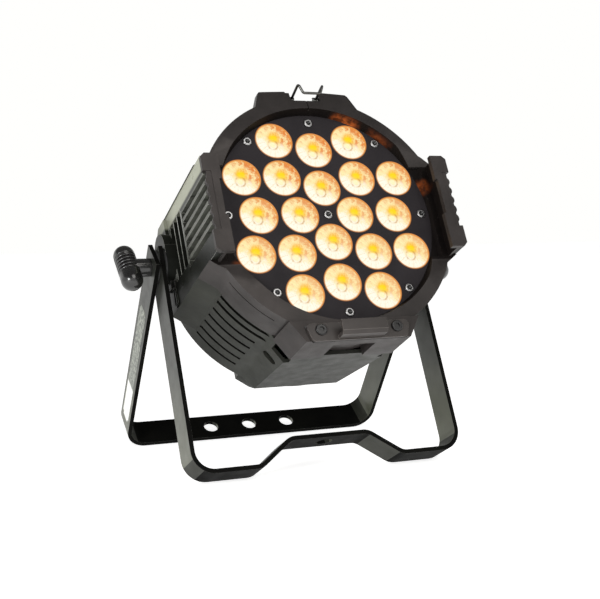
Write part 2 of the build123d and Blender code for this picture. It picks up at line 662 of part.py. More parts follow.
def fan_rotor():
    """Hub, shaft and seven pitched blades."""
    front, back = FAN_FRONT - 1.2, FAN_BACK + 4.2
    hub = disc(15.5, back, front)
    hub = fillet(hub.edges().filter_by(GeomType.CIRCLE).sort_by(Axis.Z)[-1], 1.5)
    rotor = hub + disc(2.0, FAN_BACK + 0.3, back + 1)
    for i in range(7):
        blade = Pos(25.5, 0, (front + back) / 2) * Rot(38, 0, 0) * Box(21.5, 17, 1.6)
        rotor += Rot(0, 0, i * 360 / 7) * blade
    rotor &= disc(FAN_BORE - 1.6, FAN_BACK, front)
    return Pos(0, FAN_V, 0) * rotor


def power_supply():
    """Board with a transformer, capacitors and a coil."""
    top = -78.0
    board = box(-50, 50, top - 1.6, top, -26, 50)
    board += box(-42, -8, top, top + 24, 8, 38) + box(2, 16, top, top + 16, -12, 40)
    for n in (-14, 4, 22):
        board += Pos(28, top + 12, n) * Rot(90, 0, 0) * Cylinder(7, 24)
    return board + box(-40, -14, top, top + 12, -20, 0)


def control_board():
    board = box(-43, 43, CONTROL_V - 11, CONTROL_V + 11, -47, -45.4)
    return board + box(10, 34, CONTROL_V - 8, CONTROL_V + 8, -45.4, -42)


def control_panel():
    """Plate over the cut-out with a display opening and four button holes."""
    panel = box(-49, 49, CONTROL_V - 15, CONTROL_V + 15, REAR_N - 2, REAR_N)
    panel = fillet(panel.edges().filter_by(Axis.Z), 3.0)
    panel -= box(DISPLAY_U - 18, DISPLAY_U + 18, CONTROL_V - 8, CONTROL_V + 8, REAR_N - 3, REAR_N + 1)
    for u in BUTTON_US:
        panel -= disc(BUTTON_R + 0.4, REAR_N - 3, REAR_N + 1, u, CONTROL_V - 2)
    return panel


def display_window():
    return box(DISPLAY_U - 18, DISPLAY_U + 18, CONTROL_V - 8, CONTROL_V + 8, REAR_N - 1.4, REAR_N + 1.5)


def button(u):
    """Push button: a cap through the panel, a flange behind it and a short stem."""
    cap = disc(BUTTON_R, REAR_N - 2 - BUTTON_PROUD, REAR_N + 1)
    cap = fillet(cap.edges().filter_by(GeomType.CIRCLE).sort_by(Axis.Z)[0], 0.6)
    cap += disc(BUTTON_R + 1.2, REAR_N + 0.4, REAR_N + 1.4) + disc(1.8, REAR_N + 1, -49.0)
    return Pos(u, CONTROL_V - 2, 0) * cap


def socket(contacts, contact_r):
    """Round panel socket with an open bore and its contacts at the bottom."""
    mouth = REAR_N - 3
    body = disc(SOCKET_R + 3.6, mouth, REAR_N) + disc(SOCKET_R + 2.0, REAR_N, REAR_N + 15)
    body -= disc(SOCKET_R, mouth - 1, mouth + SOCKET_DEPTH)
    for i in range(contacts):
        turn = Rot(0, 0, 90 + i * 360 / contacts)
        body -= turn * disc(contact_r, mouth + SOCKET_DEPTH - 0.5, mouth + SOCKET_DEPTH + 4.5, 4.2, 0)
    return body


def sockets():
    shapes = {}
    for name, (u, v) in SOCKETS.items():
        contacts, contact_r = (3, 1.3) if name.startswith("signal") else (2, 2.0)
        shapes[name] = Pos(u, v, 0) * socket(contacts, contact_r)
    return shapes


def fuse_cap():
    cap = disc(7.0, REAR_N - 5, REAR_N) + disc(5.4, REAR_N, REAR_N + 12)
    cap -= Pos(0, 0, REAR_N - 5) * Box(10, 1.4, 2.4)
    return Pos(*FUSE_AT, 0) * cap


def safety_eye():
    """Base plate and a round loop for the safety cable, whose hole runs along u."""
    base = box(-9, 9, EYE_V - 6, EYE_V + 4, REAR_N - 3, REAR_N)
    loop = Pos(0, EYE_V - 1, REAR_N - 9) * Rot(0, 90, 0) * Torus(8.0, 1.8)
    loop &= box(-20, 20, EYE_V - 20, EYE_V + 20, REAR_N - 30, REAR_N)
    return base + loop


# ---- write one file for each node ------------------------------------------------------------------
def head_nodes():
    ring = front_ring() - top_notch()
    panel = side_panel()
    right_knob = knob()
    right_stud = clamp_stud()
    nodes = {
        "front_ring": ring,
        "face_plate": face_plate(),
        "lens_holders": lens_holders(),
        "led_emitters": led_emitters(),
        "led_board": led_board(),
        "heat_sink": heat_sink(),
        "face_screws": face_screws(),
        "front_gasket": gasket_band(RING_BACK, RING_BACK + 1.1),
        "main_housing": main_housing(),
        "side_panel_right": panel,
        "side_panel_left": flip(panel),
        "accessory_holder": accessory_holder(),
        "holder_screws": holder_screws(),
        "top_clip": top_clip(),
        "friction_washers": washer_pair(17.0, BOSS_OUT, BOSS_OUT + 1.2),
        "knob_right": right_knob,
        "knob_left": flip(right_knob),
        "clamp_stud_right": right_stud,
        "clamp_stud_left": flip(right_stud),
        "rear_cover": rear_cover(),
        "rear_screws": rear_screws(),
        "fan_frame": fan_frame(),
        "fan_rotor": fan_rotor(),
        "power_supply": power_supply(),
        "control_board": control_board(),
        "control_panel": control_panel(),
        "display_window": display_window(),
        "fuse_cap": fuse_cap(),
        "safety_eye": safety_eye(),
    }
    one_lens = lens()
    for i, (u, v) in enumerate(LENSES, start=1):
        nodes[f"lens_{i:02d}"] = Pos(u, v, 0) * one_lens
    for i, u in enumerate(BUTTON_US, start=1):
        nodes[f"button_{i}"] = button(u)
    nodes.update(sockets())
    return nodes


def main():
    os.makedirs("parts", exist_ok=True)
    placed = {name: HEAD * shape for name, shape in head_nodes().items()}
    placed["front_bracket"] = FRONT * front_bracket()
    placed["rear_bracket"] = REAR * rear_bracket()
    placed["leg_washers"] = REAR * washer_pair(15.0, FRONT_HALF + 0.4, REAR_HALF - BAR_THICK)
    for name, shape in placed.items():
        export_step(shape, f"parts/{name}.step")
    print(f"hinge line at y {HINGE_Y:.3f}, z {HINGE_Z:.3f}; rear drop {REAR_DROP:.3f}")


main()
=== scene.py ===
"""Looks of the stage par light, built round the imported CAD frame.

Everything is in metres in the row frame. The head's own axes come from its joints: u runs to
the right along the hinge line, v up the face and n out of the face.
"""

import json
from math import atan2, cos, degrees, pi, radians, sin, tau

import bmesh
import bpy
from mathutils import Matrix, Vector

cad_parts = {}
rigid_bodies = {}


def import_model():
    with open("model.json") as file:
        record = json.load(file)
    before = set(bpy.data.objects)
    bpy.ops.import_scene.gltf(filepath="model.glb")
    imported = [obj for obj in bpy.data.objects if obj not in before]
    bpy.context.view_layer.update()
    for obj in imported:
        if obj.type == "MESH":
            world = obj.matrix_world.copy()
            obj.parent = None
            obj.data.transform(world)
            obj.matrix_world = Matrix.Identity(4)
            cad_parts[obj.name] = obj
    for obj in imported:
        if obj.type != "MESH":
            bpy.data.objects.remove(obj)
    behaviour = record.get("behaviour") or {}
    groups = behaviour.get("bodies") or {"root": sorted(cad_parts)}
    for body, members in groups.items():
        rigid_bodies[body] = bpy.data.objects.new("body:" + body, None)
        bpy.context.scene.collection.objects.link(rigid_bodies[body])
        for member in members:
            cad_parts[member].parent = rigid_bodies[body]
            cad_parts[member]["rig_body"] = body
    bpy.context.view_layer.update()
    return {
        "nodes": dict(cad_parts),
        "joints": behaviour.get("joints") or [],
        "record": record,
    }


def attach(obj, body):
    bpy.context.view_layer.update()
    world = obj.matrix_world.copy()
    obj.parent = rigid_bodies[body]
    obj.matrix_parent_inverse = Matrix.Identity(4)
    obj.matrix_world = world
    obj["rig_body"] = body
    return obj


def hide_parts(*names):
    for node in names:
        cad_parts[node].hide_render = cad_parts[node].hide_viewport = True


MM = 0.001

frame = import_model()
NODES = frame["nodes"]
JOINTS = {joint["name"]: joint for joint in frame["joints"]}
MOUNTS = {mount["name"]: mount for mount in frame["record"]["mounts"]}

# ---- axes of the head --------------------------------------------------------------------
HINGE = Vector(JOINTS["head_tilt"]["pos_m"])
FACE_AXIS = Vector(JOINTS["fan_spin"]["axis"]).normalized()
HINGE_AXIS = Vector((1.0, 0.0, 0.0))
UP_FACE = FACE_AXIS.cross(HINGE_AXIS)
HEAD = Matrix.Translation(HINGE) @ Matrix((HINGE_AXIS, UP_FACE, FACE_AXIS)).transposed().to_4x4()
TO_HEAD = HEAD.inverted()


def local_box(node):
    """Lowest and highest corner of a CAD node in the head's axes, in millimetres."""
    points = [TO_HEAD @ vertex.co for vertex in NODES[node].data.vertices]
    low = [min(p[i] for p in points) / MM for i in range(3)]
    high = [max(p[i] for p in points) / MM for i in range(3)]
    return Vector(low), Vector(high)


# ---- material building blocks ---------------------------------------------------------------
class Shader:
    """A material with short helpers for its nodes."""

    def __init__(self, name):
        self.material = bpy.data.materials.new(name)
        self.material.use_nodes = True
        self.tree = self.material.node_tree
        self.tree.nodes.clear()
        self.output = self.add("ShaderNodeOutputMaterial")
        self.surface = self.add("ShaderNodeBsdfPrincipled")
        self.link(self.surface.outputs["BSDF"], self.output.inputs["Surface"])

    def add(self, kind, **settings):
        node = self.tree.nodes.new(kind)
        for key, value in settings.items():
            setattr(node, key, value)
        return node

    def link(self, source, target):
        self.tree.links.new(source, target)

    def set(self, **values):
        for key, value in values.items():
            self.surface.inputs[key.replace("_", " ")].default_value = value

    def coordinates(self):
        return self.add("ShaderNodeTexCoord").outputs["Object"]

    def head_axes(self):
        """Place on the head as u, v and n, in millimetres."""
        moved = self.add("ShaderNodeVectorMath", operation="SUBTRACT")
        self.link(self.coordinates(), moved.inputs[0])
        moved.inputs[1].default_value = HINGE
        places = []
        for row in range(3):
            along = self.add("ShaderNodeVectorMath", operation="DOT_PRODUCT")
            self.link(moved.outputs["Vector"], along.inputs[0])
            along.inputs[1].default_value = Vector(TO_HEAD[row][:3]) / MM
            places.append(along.outputs["Value"])
        return places

    def noise(self, scale, detail=3.0, roughness=0.5, vector=None):
        node = self.add("ShaderNodeTexNoise")
        node.inputs["Scale"].default_value = scale
        node.inputs["Detail"].default_value = detail
        node.inputs["Roughness"].default_value = roughness
        self.link(vector or self.coordinates(), node.inputs["Vector"])
        return node.outputs["Fac"]

    def span(self, value, low, high, new_low, new_high, smooth=False):
        node = self.add("ShaderNodeMapRange")
        node.interpolation_type = "SMOOTHSTEP" if smooth else "LINEAR"
        for index, number in enumerate((low, high, new_low, new_high), start=1):
            node.inputs[index].default_value = number
        self.link(value, node.inputs["Value"])
        return node.outputs["Result"]

    def math(self, operation, a, b=None):
        node = self.add("ShaderNodeMath", operation=operation)
        for index, value in enumerate((a, b)):
            if value is None:
                continue
            if isinstance(value, (int, float)):
                node.inputs[index].default_value = value
            else:
                self.link(value, node.inputs[index])
        return node.outputs["Value"]

    def mix(self, factor, a, b):
        node = self.add("ShaderNodeMix", data_type="RGBA")
        sockets = [s for s in node.inputs if s.enabled]
        for socket, value in zip(sockets, (factor, a, b)):
            if isinstance(value, (int, float)):
                socket.default_value = value
            elif isinstance(value, tuple):
                socket.default_value = (*value, 1.0)
            else:
                self.link(value, socket)
        return next(s for s in node.outputs if s.enabled)

    def bump(self, height, strength, distance):
        node = self.add("ShaderNodeBump")
        node.inputs["Strength"].default_value = strength
        node.inputs["Distance"].default_value = distance
        self.link(height, node.inputs["Height"])
        self.link(node.outputs["Normal"], self.surface.inputs["Normal"])


def coated(name, dark, light, rough=(0.38, 0.52), grain=2600.0, strength=0.12, gloss=0.5, tint=None):
    """Shader of painted metal: fine orange-peel grain, slow tone changes and a few pale specks."""
    s = Shader(name)
    tone = s.span(s.noise(28.0, 4.0, 0.6), 0.3, 0.7, 0.0, 1.0)
    base = s.mix(tone, dark, light)
    specks = s.span(s.noise(700.0, 2.0, 0.7), 0.70, 0.80, 0.0, 0.35)
    s.link(s.mix(specks, base, tuple(3.0 * c for c in light)), s.surface.inputs["Base Color"])
    s.link(s.span(s.noise(90.0, 3.0), 0.3, 0.7, *rough), s.surface.inputs["Roughness"])
    s.set(Specular_IOR_Level=gloss)
    if tint is not None:
        s.set(Specular_Tint=(*tint, 1.0))
    s.bump(s.noise(grain, 2.0), strength, 0.0002)
    return s


def powder_coat(*args, **settings):
    return coated(*args, **settings).material


def bar_coat():
    """Black coat of the brackets, with a painted sheen of floor light that makes it paler towards the floor.
    """
    s = coated("bar_coat", (0.016, 0.017, 0.014), (0.026, 0.027, 0.023), (0.30, 0.40), 3200.0, 0.07, 0.3,
               (0.97, 1.0, 0.88))
    split = s.add("ShaderNodeSeparateXYZ")
    s.link(s.coordinates(), split.inputs["Vector"])
    # painted sheen: the coat is painted paler near the floor, standing for light thrown up from the floor
    painted_sheen = s.span(split.outputs["Z"], 0.015, 0.11, 0.75, 0.0, smooth=True)
    painted_sheen = s.math("MULTIPLY", painted_sheen, s.span(s.noise(60.0, 3.0), 0.2, 0.6, 0.7, 1.0))
    coat = s.surface.inputs["Base Color"].links[0].from_socket
    s.link(s.mix(painted_sheen, coat, (0.120, 0.125, 0.092)), s.surface.inputs["Base Color"])
    return s.material


def side_coat():
    """Black coat of the side panels, with painted highlights on the ribs between the slots and on the band
    above them.
    """
    s = coated("side_coat", (0.006, 0.0065, 0.005), (0.011, 0.012, 0.010), (0.26, 0.36), gloss=0.12)
    _, v, n = s.head_axes()
    # painted highlight on the ribs between the slots, towards the back of the panel
    rows = s.math("MULTIPLY", s.span(v, -24.0, -20.0, 0.0, 1.0), s.span(v, 28.0, 31.0, 1.0, 0.0))
    painted_sheen = s.math("MULTIPLY", rows, s.span(n, 44.0, 60.0, 0.0, 1.0))
    painted_sheen = s.math("MULTIPLY", painted_sheen, s.span(s.noise(90.0, 3.0), 0.3, 0.6, 0.45, 1.0))
    coat = s.surface.inputs["Base Color"].links[0].from_socket
    coat = s.mix(painted_sheen, coat, (0.105, 0.108, 0.092))
    # painted highlight on the band above the slots
    top = s.math("MULTIPLY", s.span(v, 31.0, 33.5, 0.0, 0.9), s.span(n, -14.0, 30.0, 0.3, 1.0))
    s.link(s.mix(top, coat, (0.36, 0.37, 0.29)), s.surface.inputs["Base Color"])
    return s.material


def recess_shade_glow():
    """Painted shade inside the ring and its frame channels, a dull black, with lamp light spilt on parts of
    the wall.
    """
    # painted shade: a blacker, duller coat than the ring's own, for the shade in the recess and the channels
    s = coated("recess_shade_glow", (0.005, 0.004, 0.004), (0.009, 0.007, 0.006), (0.5, 0.6), gloss=0.05)
    u, v, n = s.head_axes()
    blotches = s.span(s.noise(120.0, 3.0, 0.6), 0.38, 0.62, 0.15, 1.0)
    glow = None
    for at_u, at_v, reach, level in SPILLS:
        du, dv = s.math("SUBTRACT", u, at_u), s.math("SUBTRACT", v, at_v)
        away = s.math("SQRT", s.math("ADD", s.math("MULTIPLY", du, du), s.math("MULTIPLY", dv, dv)))
        patch = s.span(away, 0.2 * reach, reach, level, 0.0, smooth=True)
        glow = patch if glow is None else s.math("MAXIMUM", glow, patch)
    near_plate = s.span(n, FACE_N + 3.0, FACE_N + 8.5, 1.0, 0.1)
    glow = s.math("MULTIPLY", s.math("MULTIPLY", glow, blotches), near_plate)
    s.link(s.mix(glow, (0.0, 0.0, 0.0), (0.62, 0.13, 0.02)), s.surface.inputs["Emission Color"])
    s.set(Emission_Strength=1.0)
    return s.material


def moulded(name, dark, light, rough=(0.3, 0.4), grain=1800.0, strength=0.05, coat=0.0):
    """Moulded plastic or rubber with a faint grain."""
    s = Shader(name)
    tone = s.span(s.noise(60.0, 3.0), 0.35, 0.65, 0.0, 1.0)
    s.link(s.mix(tone, dark, light), s.surface.inputs["Base Color"])
    s.link(s.span(s.noise(140.0, 2.0), 0.3, 0.7, *rough), s.surface.inputs["Roughness"])
    s.set(Coat_Weight=coat, Coat_Roughness=0.12)
    s.bump(s.noise(grain, 2.0), strength, 0.0002)
    return s.material


def bare_metal(name, dark, light, rough=(0.22, 0.36), stretch=(1.0, 1.0, 1.0)):
    """Bare or plated metal with drawn scratches along one direction."""
    s = Shader(name)
    mapping = s.add("ShaderNodeMapping")
    mapping.inputs["Scale"].default_value = stretch
    s.link(s.coordinates(), mapping.inputs["Vector"])
    scratches = s.noise(900.0, 3.0, 0.6, mapping.outputs["Vector"])
    s.link(s.mix(s.span(scratches, 0.3, 0.7, 0.0, 1.0), dark, light), s.surface.inputs["Base Color"])
    s.link(s.span(scratches, 0.3, 0.7, *rough), s.surface.inputs["Roughness"])
    s.set(Metallic=1.0)
    s.bump(scratches, 0.04, 0.0001)
    return s.material


def lit_lens(name, warmth):
    """Lit collimator face: cream to orange, a yellow core, a ringed second spot and radial streaks."""
    s = Shader(name)
    split = s.add("ShaderNodeSeparateXYZ")
    s.link(s.coordinates(), split.inputs["Vector"])
    x = s.math("DIVIDE", split.outputs["X"], LENS_R * MM)
    y = s.math("DIVIDE", split.outputs["Y"], LENS_R * MM)

    def distance(cx, cy):
        dx, dy = s.math("SUBTRACT", x, cx), s.math("SUBTRACT", y, cy)
        return s.math("SQRT", s.math("ADD", s.math("MULTIPLY", dx, dx), s.math("MULTIPLY", dy, dy)))

    r = distance(0.0, 0.0)
    blotches = s.noise(210.0, 4.0, 0.70)
    slant = s.math("ADD", s.math("MULTIPLY", x, 0.66), s.math("MULTIPLY", y, 0.58))
    slant = s.math("ADD", slant, s.math("MULTIPLY", s.math("SUBTRACT", blotches, 0.5), 3.4))
    side = s.math("MULTIPLY", s.span(slant, 0.1, 0.85, 0.0, 1.0, smooth=True), warmth)
    colour = s.mix(side, (1.0, 0.83, 0.42), (0.78, 0.23, 0.045))
    low = s.math("ADD", s.math("MULTIPLY", x, -0.45), s.math("MULTIPLY", y, -0.85))
    low = s.math("ADD", low, s.math("MULTIPLY", s.math("SUBTRACT", blotches, 0.5), 1.2))
    colour = s.mix(s.span(low, 0.0, 0.42, 0.0, 0.95, smooth=True), colour, (1.0, 0.97, 0.82))
    angle = s.math("ARCTAN2", y, x)
    ray = s.add("ShaderNodeTexNoise", noise_dimensions="2D")
    ray.inputs["Scale"].default_value = 4.2
    ray.inputs["Detail"].default_value = 2.0
    ray_at = s.add("ShaderNodeCombineXYZ")
    s.link(s.math("MULTIPLY", angle, 3.2), ray_at.inputs["X"])
    s.link(s.math("MULTIPLY", r, 0.35), ray_at.inputs["Y"])
    s.link(ray_at.outputs["Vector"], ray.inputs["Vector"])
    streaks = s.span(ray.outputs["Fac"], 0.52, 0.72, 0.0, 0.4, smooth=True)
    streaks = s.math("MULTIPLY", streaks, s.span(r, 0.30, 0.50, 0.0, 1.0, smooth=True))
    colour = s.mix(streaks, colour, (0.90, 0.50, 0.12))
    halo = s.math("MULTIPLY", s.span(distance(0.02, 0.16), 0.16, 0.52, 0.95, 0.0, smooth=True),
                  s.span(blotches, 0.36, 0.56, 0.55, 1.0))
    colour = s.mix(halo, colour, (0.96, 0.50, 0.012))
    core = s.span(distance(-0.03, 0.12), 0.10, 0.32, 1.0, 0.0, smooth=True)
    colour = s.mix(core, colour, (1.0, 0.72, 0.004))
    second = distance(-0.12, -0.27)
    ring = s.math("MULTIPLY", s.span(second, 0.20, 0.25, 0.0, 0.8, smooth=True),
                  s.span(second, 0.26, 0.35, 1.0, 0.0, smooth=True))
    ring = s.math("MULTIPLY", ring, s.span(blotches, 0.40, 0.60, 0.2, 1.0))
    colour = s.mix(ring, colour, (0.62, 0.33, 0.08))
    spot = s.span(second, 0.10, 0.21, 0.9, 0.0, smooth=True)
    colour = s.mix(spot, colour, (1.0, 0.93, 0.55))
    specks = s.span(s.noise(900.0, 2.0, 0.8), 0.56, 0.74, 0.0, 0.5)
    colour = s.mix(specks, colour, (0.62, 0.28, 0.08))
    rim = s.span(r, 0.93, 1.0, 0.0, 0.75, smooth=True)
    colour = s.mix(rim, colour, (0.80, 0.34, 0.05))
    s.link(colour, s.surface.inputs["Emission Color"])
    s.set(Base_Color=(0.02, 0.015, 0.01, 1.0), Emission_Strength=LENS_POWER, Roughness=0.3, IOR=1.3)
    s.bump(s.noise(420.0, 2.0), 0.25, 0.0003)
    return s.material


def spill(name, near, far, r0, r1):
    """Black plastic that glows where light leaks past a lens, fading outwards from the lens."""
    s = Shader(name)
    split = s.add("ShaderNodeSeparateXYZ")
    s.link(s.coordinates(), split.inputs["Vector"])
    flat = s.add("ShaderNodeCombineXYZ")
    s.link(split.outputs["X"], flat.inputs["X"])
    s.link(split.outputs["Y"], flat.inputs["Y"])
    length = s.add("ShaderNodeVectorMath", operation="LENGTH")
    s.link(flat.outputs["Vector"], length.inputs[0])
    fade = s.span(length.outputs["Value"], r0 * MM, r1 * MM, 0.0, 1.0)
    s.link(s.mix(fade, near, far), s.surface.inputs["Emission Color"])
    s.set(Base_Color=(0.02, 0.02, 0.02, 1.0), Emission_Strength=1.0, Roughness=0.5)
    return s.material


# ---- building pieces ----------------------------------------------------------------------
def add_piece(name, mesh, body, material=None, matrix=Matrix()):
    piece = bpy.data.objects.new(name, mesh)
    bpy.context.scene.collection.objects.link(piece)
    piece.matrix_world = matrix
    if material is not None:
        mesh.materials.clear()
        mesh.materials.append(material)
    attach(piece, body)
    return piece


def lathe(name, profile, segments):
    """Mesh turned about z from points (radius, height) in millimetres."""
    bm = bmesh.new()
    rings = []
    for radius, height in profile:
        if radius == 0:
            rings.append([bm.verts.new((0, 0, height * MM))])
            continue
        ring = []
        for i in range(segments):
            a = tau * i / segments
            ring.append(bm.verts.new((radius * MM * cos(a), radius * MM * sin(a), height * MM)))
        rings.append(ring)
    for lower, upper in zip(rings, rings[1:]):
        for i in range(segments):
            j = (i + 1) % segments
            below = [lower[i % len(lower)], lower[j % len(lower)]]
            above = [upper[j % len(upper)], upper[i % len(upper)]]
            corners = list(dict.fromkeys(below + above))
            if len(corners) > 2:
                bm.faces.new(corners)
    bmesh.ops.recalc_face_normals(bm, faces=bm.faces)
    return mesh_from(bm, name)


def mesh_from(bm, name, smooth=True):
    mesh = bpy.data.meshes.new(name)
    bm.to_mesh(mesh)
    bm.free()
    mesh.polygons.foreach_set("use_smooth", [smooth] * len(mesh.polygons))
    return mesh


SHARP_ANGLE = 32.0            # an edge that turns by more than this many degrees is rounded


def soften(node, material, width, edge, extras=(), choose=None):
    """Stands a copy of a CAD node with small rounded edges in its place.

    edge is the coat of the rounded edges, a paler coat that paints highlights on them. extras are more coats,
    and choose(centre, normal), in the head's axes, gives the number of the coat that a face takes, counted
    from the first coat.
    """
    source = NODES[node]
    bm = bmesh.new()
    bm.from_mesh(source.data)
    bmesh.ops.remove_doubles(bm, verts=bm.verts, dist=2e-6)
    bmesh.ops.dissolve_limit(bm, angle_limit=radians(0.6), verts=bm.verts, edges=bm.edges)
    mesh = mesh_from(bm, node + "_edged")
    piece = add_piece(node + "_edged", mesh, source["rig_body"], material)
    for extra in extras:
        mesh.materials.append(extra)
    if choose is not None:
        turn = TO_HEAD.to_3x3()
        for face in mesh.polygons:
            face.material_index = choose((TO_HEAD @ face.center) / MM, turn @ face.normal)
    bevel = piece.modifiers.new("edges", "BEVEL")
    bevel.width = width * MM
    mesh.materials.append(edge)
    bevel.material = len(mesh.materials) - 1
    bevel.segments = 2
    bevel.limit_method = "ANGLE"
    bevel.angle_limit = radians(SHARP_ANGLE)
    bevel.use_clamp_overlap = True
    bevel.miter_outer = "MITER_ARC"
    normals = piece.modifiers.new("normals", "WEIGHTED_NORMAL")
    normals.keep_sharp = True
    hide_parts(node)


# ---- lenses ---------------------------------------------------------------------------------
LENS_NAMES = sorted(name for name in NODES if name.startswith("lens_") and name[5:].isdigit())
LENS_LOW, LENS_HIGH = local_box(LENS_NAMES[0])
LENS_R = (LENS_HIGH.x - LENS_LOW.x) / 2
LENS_POWER = 1.0
FACE_N = local_box("face_plate")[1].z
FLUTES = 30
FLUTE_STEPS = 5
SCREW_HEAD_R = 3.9
WALL_R = 100.5                # wall of the recess in the front ring
RECESS_DEPTH = 8.6
CHANNEL_IN = 96.0             # frame channels behind the ears
CHANNEL_U = 105.0
CHANNEL_HALF = 46.0
LIP_N = 117.6
LEG_END = 120.0               # the straight legs of a bracket end this far from the hinge, at least
# Light spilt on the ring's wall: u, v, reach and level of each patch.
SPILLS = ((36.0, 93.0, 17.0, 0.9), (66.0, 75.0, 16.0, 0.25), (97.0, 26.0, 10.0, 0.3),
          (-86.0, -50.0, 13.0, 0.35), (-60.0, -80.0, 14.0, 0.5))
FIN_NS = (13.0, 24.3, 35.6, 46.9)
FIN_BOTTOM = -20.0
FIN_TOP = 33.0
# Grooves of the main housing: n of the middle, and width.
GROOVES = ((64.0, 4.4), (52.5, 4.2), (38.0, 3.4), (23.5, 3.4), (9.0, 3.4), (-5.5, 3.4), (-20.0, 3.4))


def lens_mesh():
    """Pressed lens face: a centre dome in a groove, radial flutes round it and a plain rim."""
    dome = [(0.0, 1.30), (1.6, 1.24), (3.0, 1.08), (4.2, 0.84), (5.0, 0.58)]
    groove = [(5.4, 0.30), (5.9, 0.34), (6.5, 0.74)]
    flutes = [(8.0, 0.86), (10.0, 0.74), (12.0, 0.58), (13.8, 0.38), (15.0, 0.20)]
    rim = [(15.5, 0.02), (LENS_R - 0.25, -0.02), (LENS_R, -0.30), (LENS_R, -3.6)]
    segments = FLUTES * FLUTE_STEPS
    mesh = lathe("lens_face", dome + groove + flutes + rim, segments)
    first, last = flutes[0][0], flutes[-1][0]
    for vertex in mesh.vertices:
        radius = Vector(vertex.co[:2]).length / MM
        if first - 0.1 < radius < last + 0.1:
            swell = sin(pi * (radius - first + 1.5) / (last - first + 3.0))
            turn = FLUTES * Vector((vertex.co.x, vertex.co.y)).angle_signed(Vector((1, 0)), 0.0)
            vertex.co.z += 0.16 * MM * swell * cos(turn)
    return mesh


def add_lenses():
    mesh = lens_mesh()
    lip = lathe("lens_lip", [(LENS_R + 0.02, -0.9), (LENS_R + 0.02, 0.16), (LENS_R + 0.30, 0.34),
                             (LENS_R + 0.75, 0.32), (LENS_R + 0.95, 0.02), (LENS_R + 0.95, -0.5)], 72)
    glow = spill("lens_lip_glow", (0.75, 0.26, 0.03), (0.10, 0.030, 0.008), LENS_R, LENS_R + 0.95)
    shades = [lit_lens(f"lens_lit_{i}", 0.55 + 0.15 * i) for i in range(4)]
    for name in LENS_NAMES:
        low, high = local_box(name)
        u, v = (low.x + high.x) / 2, (low.y + high.y) / 2
        height = (v - u * 0.35) / 75.0
        shade = shades[max(0, min(3, round(1.5 + 1.7 * height)))]
        place = HEAD @ Matrix.Translation(Vector((u, v, FACE_N - 0.3)) * MM)
        lens = add_piece(name + "_face", mesh.copy(), "head", shade, place)
        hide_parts(name)
        ring_place = HEAD @ Matrix.Translation(Vector((u, v, FACE_N)) * MM)
        add_piece(name + "_lip", lip.copy(), "head", glow, ring_place)


def is_strip(centre, normal):
    """True on the slanted strips above the side panels."""
    return abs(normal.x) > 0.45 and normal.y > 0.45 and abs(normal.z) < 0.2 and abs(centre.x) > 95.0


def housing_parts(centre, normal):
    """Coats of the main housing: 1, painted shade, on the walls of its grooves, 2, a painted highlight, on
    the slanted strips.
    """
    below = degrees(atan2(-centre.y, abs(centre.x)))
    at_groove = 28.0 < below < 66.0 and any(abs(centre.z - at) < wide / 2 + 0.2 for at, wide in GROOVES)
    if at_groove and abs(normal.z) > 0.9:
        return 1
    return 2 if is_strip(centre, normal) else 0


def side_parts(centre, normal):
    """Coats of a side panel: 1, a painted highlight, on the outer ends of its fins."""
    on_fin = any(abs(centre.z - at) < 1.0 for at in FIN_NS) and FIN_BOTTOM < centre.y < FIN_TOP
    return 1 if on_fin and abs(normal.z) < 0.5 else 0


def ring_parts(centre, normal):
    """Coats of the front ring: 1, painted shade, in the recess and the frame channels, 2, a painted
    highlight, on the slanted strips.
    """
    radius = centre.xy.length
    in_wall = radius < WALL_R + 0.3 and centre.z < FACE_N + RECESS_DEPTH
    beside = CHANNEL_IN < abs(centre.x) < CHANNEL_U + 0.2 and abs(centre.y) < CHANNEL_HALF
    if in_wall or (beside and centre.z < LIP_N):
        return 1
    return 2 if is_strip(centre, normal) else 0


def bar_parts(centre, normal):
    """Coats of a bracket: 0 on its legs, 1, painted half shade, in its bends and 2, painted shade, on its
    crossbar.
    """
    lean = abs(normal.x)
    if centre.length < LEG_END or lean > 0.93:
        return 0
    return 1 if lean > 0.5 else 2


def add_holder_gap(material):
    """Black sheet under the edge of the accessory holder's plate: painted shade in the gap that shows round
    it.
    """
    low, high = local_box("accessory_holder")
    outline = [(low.x - 1.1, high.y - 1.0), (low.x + 3.4, low.y - 0.2), (high.x - 3.4, low.y - 0.2),
               (high.x + 1.1, high.y - 1.0)]
    top = low.z + 0.5
    bm = bmesh.new()
    rows = [[bm.verts.new(Vector((u, v, n)) * MM) for u, v in outline] for n in (top - 0.4, top)]
    bm.faces.new(rows[0][::-1])
    bm.faces.new(rows[1])
    for i in range(4):
        j = (i + 1) % 4
        bm.faces.new((rows[0][i], rows[0][j], rows[1][j], rows[1][i]))
    bmesh.ops.recalc_face_normals(bm, faces=bm.faces)
    # painted shade piece, in the gap round the holder plate
    add_piece("holder_gap_shade", mesh_from(bm, "holder_gap_shade", smooth=False), "head", material, HEAD)


